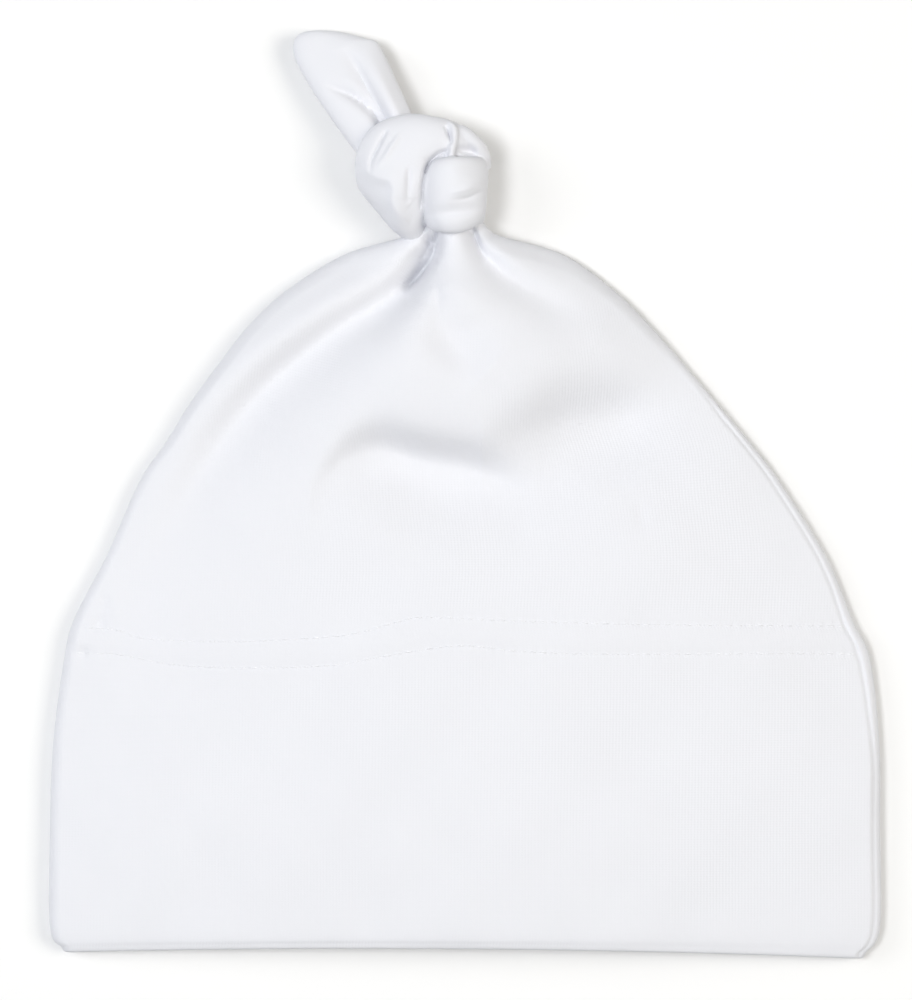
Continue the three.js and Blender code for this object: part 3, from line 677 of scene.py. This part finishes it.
def cloth_uv(grid):
    """The lengths along the cloth at each point of a grid: round from the front's middle, and up."""
    around = np.linalg.norm(np.diff(grid, axis=1, prepend=grid[:, :1]), axis=-1).cumsum(1)
    around -= around[:, FRONT_COLUMNS // 2][:, None]
    up = np.linalg.norm(np.diff(grid, axis=0, prepend=grid[:1]), axis=-1).cumsum(0)
    return np.stack([around, np.repeat(up[:, FRONT_COLUMNS // 2][:, None], grid.shape[1], axis=1)], axis=-1)


def hem_cloth():
    """The turned-up hem: the outer cloth, the rounded fold and the inner layer."""
    turn = turns()
    at = places_at_heights(np.linspace(0, HEM_DEPTH, HEM_ROWS))
    at[0] = 0
    outside = surface(turn, at)
    inner_at = at[np.linspace(0, HEM_ROWS - 1, INNER_ROWS).astype(int)]
    inside = inset_surface(turn, inner_at, HEM_WALL, [True] * INNER_ROWS)
    angle = np.pi * np.arange(1, NOSE_ROWS) / NOSE_ROWS
    first, last = outside[0], inside[0]
    reach = np.array([0, HEM_WALL / 2, 0])
    nose = [(first + last) / 2 + (first - last) / 2 * np.cos(a) - reach * np.sin(a) for a in angle[::-1]]
    grid = np.concatenate([outside, inside[::-1], np.array(nose)])
    return grid_object("hem_cloth", grid, True, cloth_uv(grid))


def crown_cloth():
    """The crown: one layer of cloth up to the neck, which runs on a little way into the knot."""
    turn = turns()
    bottom = places_at_heights([HEM_DEPTH])[0]
    gathers = NECK_END - GATHER_SECTIONS
    at = np.concatenate([
        np.linspace(bottom, gathers, CROWN_ROWS)[:-1], np.linspace(gathers, NECK_END, GATHER_ROWS),
    ])
    outside = surface(turn, at)
    inner_at = np.linspace(bottom, len(BODY_SECTIONS) - SOLID_NECK, INNER_ROWS)
    inside = inset_surface(turn, inner_at, JERSEY_WALL, inner_at == bottom)
    pressed = smoothstep(inner_at, inner_at[-1] - CLOSING, inner_at[-1])[:, None]
    inside[..., 2] -= CLOSING_PRESS * pressed * (inside[..., 2] - JERSEY_WALL)
    grid = np.concatenate([inside[::-1], outside])
    return grid_object("crown_cloth", grid, False, cloth_uv(grid))


def strand_grid(stations, folds, scale_wide, scale_thick, tip_stations):
    """A strand of bunched cloth as a grid of rings, with its folds on the outer face."""
    end = len(stations) - 1
    at = np.linspace(0, end, STRAND_RINGS)
    s = smooth(stations, at)
    before, after = smooth(stations, at - STRAND_SLOPE_STEP), smooth(stations, at + STRAND_SLOPE_STEP)
    forward = after[:, :3] - before[:, :3]
    forward /= np.linalg.norm(forward, axis=1, keepdims=True)
    side = np.cross(s[:, 5:8], forward)
    side /= np.linalg.norm(side, axis=1, keepdims=True)
    out = np.cross(forward, side)
    left = np.clip((end - at) / tip_stations, 0, 1) if tip_stations else np.ones(len(at))
    tip = np.sqrt(1 - (1 - left) ** 2 * (1 - TIP_FACE ** 2))[:, None]
    angle = 2 * math.pi * np.arange(STRAND_SIDES)[None, :] / STRAND_SIDES
    wide = s[:, 3:4] * scale_wide / 2 * tip
    thick = s[:, 4:5] * scale_thick / 2 * tip
    full = s[:, 9:10]
    across = np.sign(np.cos(angle)) * np.abs(np.cos(angle)) ** full * wide
    height = np.sign(np.sin(angle)) * np.abs(np.sin(angle)) ** full * thick
    along = np.linalg.norm(np.diff(s[:, :3], axis=0, prepend=s[:1, :3]), axis=1).cumsum()
    relief = np.zeros(across.shape)
    for rows in folds:
        rows = np.array(rows, float)
        path = np.column_stack([
            rows[:, 0] * np.interp(rows[:, 1], at, wide[:, 0]), np.interp(rows[:, 1], at, along),
            rows[:, 2:5] * STRAND_FOLD, rows[:, 5],
        ])
        relief += fold_height(polyline(path), -across, np.repeat(along[:, None], STRAND_SIDES, axis=1))
    height = height + relief * smoothstep(np.sin(angle), 0, 0.5)
    ahead = s[:, 8:9] * across
    points = s[:, None, :3] + side[:, None, :] * across[..., None]
    return points + out[:, None, :] * height[..., None] + forward[:, None, :] * ahead[..., None]


def knot_stations(rows):
    """A strand's rows with its places in metres."""
    rows = np.array(rows, float)
    rows[:, 0] = NECK_SHIFT + rows[:, 0] * KNOT_WIDTH
    rows[:, 1] = CAP_HEIGHT + rows[:, 1] * KNOT_LENGTH
    rows[:, 2] = rows[:, 2] * KNOT_THICKNESS
    return rows


def tail_stations():
    """The tail's rows with its places in metres."""
    rows = np.array(TAIL_SECTIONS, float)
    rows[:, 0] = NECK_SHIFT + TAIL_ROOT[0] * KNOT_WIDTH + rows[:, 0] * TAIL_LENGTH
    rows[:, 1] = CAP_HEIGHT + TAIL_ROOT[1] * KNOT_LENGTH + rows[:, 1] * TAIL_LENGTH
    rows[:, 2] = rows[:, 2] * KNOT_THICKNESS
    return rows


def only(obj):
    """Makes obj the one selected and active object."""
    for other in bpy.context.view_layer.objects:
        other.select_set(other == obj)
    bpy.context.view_layer.objects.active = obj


def apply_modifiers(obj):
    """Turns what obj's modifiers make into its mesh."""
    only(obj)
    for modifier in list(obj.modifiers):
        bpy.ops.object.modifier_apply(modifier=modifier.name)


def crease(knot):
    """Presses the folds of the knot into the faces that look up."""
    mesh = knot.data
    points = np.zeros(len(mesh.vertices) * 3)
    normals = np.zeros(len(mesh.vertices) * 3)
    mesh.vertices.foreach_get("co", points)
    mesh.vertices.foreach_get("normal", normals)
    points, normals = points.reshape(-1, 3), normals.reshape(-1, 3)
    scale = np.array([KNOT_WIDTH, KNOT_LENGTH, STRAND_FOLD, STRAND_FOLD, STRAND_FOLD, 1])
    corner = np.array([NECK_SHIFT + SHIFT[0], CAP_HEIGHT + SHIFT[1], 0, 0, 0, 0])
    paths = [polyline(np.array(rows) * scale + corner) for rows in KNOT_FOLDS.values()]
    relief = sum(fold_height(path, points[:, 0], points[:, 1]) for path in paths)
    points[:, 2] += relief * smoothstep(normals[:, 2], *CREASED_SLOPES)
    mesh.vertices.foreach_set("co", points.ravel())
    mesh.update()


def knot_cloth():
    """The knot: its strands pressed into one body."""
    strands = []
    for name, rows in STRANDS.items():
        grid = strand_grid(knot_stations(rows), [], STRAND_WIDTH, STRAND_THICKNESS, 0)
        strands.append(grid_object("knot_" + name, grid, False))
    only(strands[0])
    for strand in strands:
        strand.select_set(True)
    bpy.ops.object.join()
    knot = strands[0]
    knot.name = knot.data.name = "knot_cloth"
    remesh = knot.modifiers.new("Remesh", "REMESH")
    remesh.mode = "VOXEL"
    remesh.voxel_size = KNOT_VOXEL
    remesh.use_smooth_shade = True
    relax = knot.modifiers.new("Relax", "SMOOTH")
    relax.factor = 0.5
    relax.iterations = 2
    apply_modifiers(knot)
    crease(knot)
    return knot


def tail_cloth():
    """The free end of the tube above the knot, with its folds and rounded tip."""
    grid = strand_grid(tail_stations(), TAIL_FOLDS, TAIL_WIDTH, TAIL_THICKNESS, TIP_STATIONS)
    return grid_object("tail_cloth", grid, False)


def stitch_middles(row):
    """The places across the front, between its two edges, of the stitches of a row."""
    count = int(FLAT_WIDTH / STITCH_LENGTH)
    middles = []
    for k in range(-count // 2, count // 2 + 1):
        middle = (k + 0.5) * STITCH_LENGTH
        left_x, _, right_x = smooth(SECTIONS, places_at_heights([row_height(row, middle)]))[0, :3]
        if left_x + EDGE_RADIUS < middle < right_x - EDGE_RADIUS:
            middles.append(middle)
    return middles


def stitch_line(row, middle, patch):
    """The points along the middle of one stitch, on the cloth of the patch."""
    reach = STITCH_SHARE / 2 * STITCH_LENGTH
    line = []
    for x in np.linspace(middle - reach, middle + reach, THREAD_RINGS):
        near = np.argmin(np.hypot(patch[..., 0] - x, patch[..., 1] - row_height(row, x)))
        line.append([x, row_height(row, x), patch.reshape(-1, 3)[near, 2]])
    return line


def thread_points(line):
    """The rings of points round one stitch, thinner at its ends."""
    points = []
    for j, centre in enumerate(line):
        radius = THREAD_RADIUS * math.sin(math.pi * (j + 0.6) / (THREAD_RINGS + 0.2))
        for i in range(THREAD_SIDES):
            angle = 2 * math.pi * i / THREAD_SIDES
            across, up = math.cos(angle) * radius, math.sin(angle) * radius + THREAD_LIFT
            points.append([centre[0], centre[1] + across, centre[2] + up])
    return points


def thread_faces(base):
    """The faces of one stitch whose points start at base."""
    last = base + (THREAD_RINGS - 1) * THREAD_SIDES
    faces = []
    for ring in range(base, last, THREAD_SIDES):
        for i in range(THREAD_SIDES):
            n = (i + 1) % THREAD_SIDES
            faces.append([ring + i, ring + THREAD_SIDES + i, ring + THREAD_SIDES + n, ring + n])
    faces.append([base + i for i in range(THREAD_SIDES)])
    faces.append([last + i for i in reversed(range(THREAD_SIDES))])
    return faces


def stitches(row):
    """One row of stitches across the front, as small rounded lengths of thread."""
    band = places_at_heights(np.array(STITCHED_BAND) * CAP_HEIGHT)
    patch = surface(turns()[:FRONT_COLUMNS], np.linspace(band[0], band[1], BAND_ROWS))
    points, faces = [], []
    for middle in stitch_middles(row):
        faces += thread_faces(len(points))
        points += thread_points(stitch_line(row, middle, patch))
    mesh = bpy.data.meshes.new("stitches_" + row)
    mesh.from_pydata((np.array(points) + SHIFT).tolist(), [], faces)
    mesh.polygons.foreach_set("use_smooth", [True] * len(mesh.polygons))
    obj = bpy.data.objects.new("stitches_" + row, mesh)
    bpy.context.scene.collection.objects.link(obj)
    return obj


def frame_shift():
    """From the tube's own origin to the frame's: the hem's lowest point meets the hem of the solids."""
    row = surface(turns(), np.array([0.0]))
    low = row[..., 1].min() - HEM_WALL / 2
    hem_low, hem_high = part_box("hem_band")
    return np.array([(hem_low.x + hem_high.x) / 2, hem_low.y - low, 0])


SHIFT = frame_shift()


def node(tree, kind, **values):
    """A new node of a material, with its settings."""
    made = tree.nodes.new(kind)
    for key, value in values.items():
        setattr(made, key, value)
    return made


def math_node(tree, operation, *inputs):
    """The result of a sum on numbers and other nodes' outputs."""
    made = node(tree, "ShaderNodeMath", operation=operation)
    for k, value in enumerate(inputs):
        if isinstance(value, (int, float)):
            made.inputs[k].default_value = value
        else:
            tree.links.new(value, made.inputs[k])
    return made.outputs[0]


# The cloth's colour and how far its tone strays, the knit's ribs and rows, and the thread's two tones
CLOTH_COLOUR = (0.708, 0.714, 0.75, 1)
TONE_SPREAD = 0.015
WALE = 0.65 * MM
COURSE = 0.5 * MM
THREAD_DARK = (0.74, 0.745, 0.775, 1)
THREAD_LIGHT = (0.8, 0.805, 0.83, 1)


def cloth_material(name, from_uv):
    """White cotton jersey: matt, with fine wales, a little fuzz and a faint unevenness of tone."""
    material = bpy.data.materials.new(name)
    material.use_nodes = True
    tree = material.node_tree
    shader = tree.nodes["Principled BSDF"]
    shader.inputs["Roughness"].default_value = 0.92
    shader.inputs["Specular IOR Level"].default_value = 0.25
    shader.inputs["Sheen Weight"].default_value = 0.12
    shader.inputs["Sheen Roughness"].default_value = 0.45
    coordinates = node(tree, "ShaderNodeTexCoord")
    tone = node(tree, "ShaderNodeTexNoise")
    tone.inputs["Scale"].default_value = 60
    tone.inputs["Detail"].default_value = 3
    tree.links.new(coordinates.outputs["Object"], tone.inputs["Vector"])
    colours = node(tree, "ShaderNodeMix", data_type="RGBA")
    colours.inputs[6].default_value = [c * (1 - TONE_SPREAD) for c in CLOTH_COLOUR[:3]] + [1]
    colours.inputs[7].default_value = [c * (1 + TONE_SPREAD) for c in CLOTH_COLOUR[:3]] + [1]
    tree.links.new(tone.outputs["Fac"], colours.inputs[0])
    tree.links.new(colours.outputs[2], shader.inputs["Base Color"])
    fuzz = node(tree, "ShaderNodeTexNoise")
    fuzz.inputs["Scale"].default_value = 1400
    fuzz.inputs["Detail"].default_value = 4
    tree.links.new(coordinates.outputs["Object"], fuzz.inputs["Vector"])
    height = math_node(tree, "MULTIPLY", fuzz.outputs["Fac"], 0.5)
    if from_uv:
        split = node(tree, "ShaderNodeSeparateXYZ")
        tree.links.new(coordinates.outputs["UV"], split.inputs[0])
        wales = math_node(tree, "SINE", math_node(tree, "MULTIPLY", split.outputs[0], math.pi / WALE))
        courses = math_node(tree, "SINE", math_node(tree, "MULTIPLY", split.outputs[1], 2 * math.pi / COURSE))
        ribs = math_node(tree, "ABSOLUTE", wales)
        knit = math_node(tree, "ADD", ribs, math_node(tree, "MULTIPLY", courses, 0.25))
        height = math_node(tree, "ADD", height, math_node(tree, "MULTIPLY", knit, 0.6))
    bump = node(tree, "ShaderNodeBump")
    bump.inputs["Strength"].default_value = 0.26
    bump.inputs["Distance"].default_value = 0.1 * MM
    tree.links.new(height, bump.inputs["Height"])
    tree.links.new(bump.outputs["Normal"], shader.inputs["Normal"])
    return material


def thread_material():
    """White sewing thread with its twist."""
    material = bpy.data.materials.new("thread")
    material.use_nodes = True
    tree = material.node_tree
    shader = tree.nodes["Principled BSDF"]
    shader.inputs["Roughness"].default_value = 0.7
    coordinates = node(tree, "ShaderNodeTexCoord")
    twist = node(tree, "ShaderNodeTexWave", wave_type="BANDS", bands_direction="DIAGONAL")
    twist.inputs["Scale"].default_value = 1200
    tree.links.new(coordinates.outputs["Object"], twist.inputs["Vector"])
    colours = node(tree, "ShaderNodeMix", data_type="RGBA")
    colours.inputs[6].default_value = THREAD_DARK
    colours.inputs[7].default_value = THREAD_LIGHT
    tree.links.new(twist.outputs["Fac"], colours.inputs[0])
    tree.links.new(colours.outputs[2], shader.inputs["Base Color"])
    return material


def wear(obj, material):
    """Gives a piece its material and its slot, and fixes it to the one body."""
    obj.data.materials.clear()
    obj.data.materials.append(material)
    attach(obj, "root")
    return obj


def build_cap():
    """The four pieces of cloth, each in place of its solid, and the stitches."""
    jersey = cloth_material("jersey", True)
    bunched = cloth_material("bunched_jersey", False)
    thread = thread_material()
    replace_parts(wear(hem_cloth(), jersey), "hem_band")
    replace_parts(wear(crown_cloth(), jersey), "crown")
    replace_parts(wear(knot_cloth(), bunched), "knot")
    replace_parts(wear(tail_cloth(), bunched), "tail")
    for row in STITCH_ROWS:
        wear(stitches(row), thread)


# The photograph: its size and scale, and the pixel that the frame's origin falls on
PHOTO_WIDTH, PHOTO_HEIGHT = 912, 1000
PIXEL = 0.2045 * MM
ORIGIN_PIXEL = (465, 494.9)
LENS = 150
SENSOR = 36
PICTURE_PLANE = 4 * MM
CLIP_RANGE = (0.01, 10)


def add_camera():
    """A camera straight above, at the photograph's scale on the plane of the cap's side folds."""
    data = bpy.data.cameras.new("camera")
    data.lens = LENS
    data.sensor_width = SENSOR
    data.clip_start, data.clip_end = CLIP_RANGE
    camera = bpy.data.objects.new("camera", data)
    bpy.context.scene.collection.objects.link(camera)
    distance = PHOTO_HEIGHT * PIXEL * LENS / SENSOR
    x = (PHOTO_WIDTH / 2 - ORIGIN_PIXEL[0]) * PIXEL
    y = (ORIGIN_PIXEL[1] - PHOTO_HEIGHT / 2) * PIXEL
    camera.location = (x, y, PICTURE_PLANE + distance)
    bpy.context.scene.camera = camera


# The lights: degrees round from +X and above the table, distance, size, share of the light on the table and
# colour
LIGHTS = {
    "left": [177, 70, 1.2, 0.34, 0.45, (0.965, 0.98, 1.0)],
    "low_left": [165, 38, 1.8, 1, 0.19, (0.965, 0.98, 1.0)],
    "right": [2, 49, 1.2, 0.73, 0.4, (1.0, 0.96, 0.88)],
    "above": [270, 88, 1.4, 0.9, 0.1, (1.0, 1.0, 1.0)],
}
FILL = 0.2
FILL_COLOUR = (0.97, 0.985, 1.0, 1)
TABLE_COLOUR = (0.79, 0.79, 0.79, 1)
TABLE_GLOW = 0.03
TABLE_REACH = 3
TABLE_DROP = 0.02 * MM


def add_lights():
    """The area lights, aimed at the cap, and an even light from all round."""
    for name, (round_x, above, distance, size, share, colour) in LIGHTS.items():
        data = bpy.data.lights.new(name, "AREA")
        data.shape = "DISK"
        data.size = size
        data.energy = share * math.pi ** 2 * distance ** 2 / math.sin(math.radians(above))
        data.color = colour
        light = bpy.data.objects.new(name, data)
        bpy.context.scene.collection.objects.link(light)
        flat = distance * math.cos(math.radians(above))
        place = Vector((
            flat * math.cos(math.radians(round_x)), flat * math.sin(math.radians(round_x)),
            distance * math.sin(math.radians(above)),
        ))
        light.location = place
        light.rotation_euler = (-place).to_track_quat("-Z", "Y").to_euler()
    world = bpy.data.worlds.new("studio")
    world.use_nodes = True
    background = world.node_tree.nodes["Background"]
    background.inputs["Color"].default_value = FILL_COLOUR
    background.inputs["Strength"].default_value = FILL
    bpy.context.scene.world = world


def add_floor():
    """The white table."""
    mesh = bpy.data.meshes.new("table")
    reach = TABLE_REACH
    corners = [(-reach, -reach, 0), (reach, -reach, 0), (reach, reach, 0), (-reach, reach, 0)]
    mesh.from_pydata(corners, [], [(0, 1, 2, 3)])
    floor = bpy.data.objects.new("table", mesh)
    floor.location.z = -TABLE_DROP
    bpy.context.scene.collection.objects.link(floor)
    material = bpy.data.materials.new("table")
    material.use_nodes = True
    shader = material.node_tree.nodes["Principled BSDF"]
    shader.inputs["Base Color"].default_value = TABLE_COLOUR
    shader.inputs["Roughness"].default_value = 0.9
    shader.inputs["Specular IOR Level"].default_value = 0.1
    shader.inputs["Emission Color"].default_value = (1, 1, 1, 1)
    shader.inputs["Emission Strength"].default_value = TABLE_GLOW
    mesh.materials.append(material)


build_cap()
add_camera()
add_lights()
add_floor()
view = bpy.context.scene.view_settings
view.view_transform = "Standard"
view.exposure = 0.0
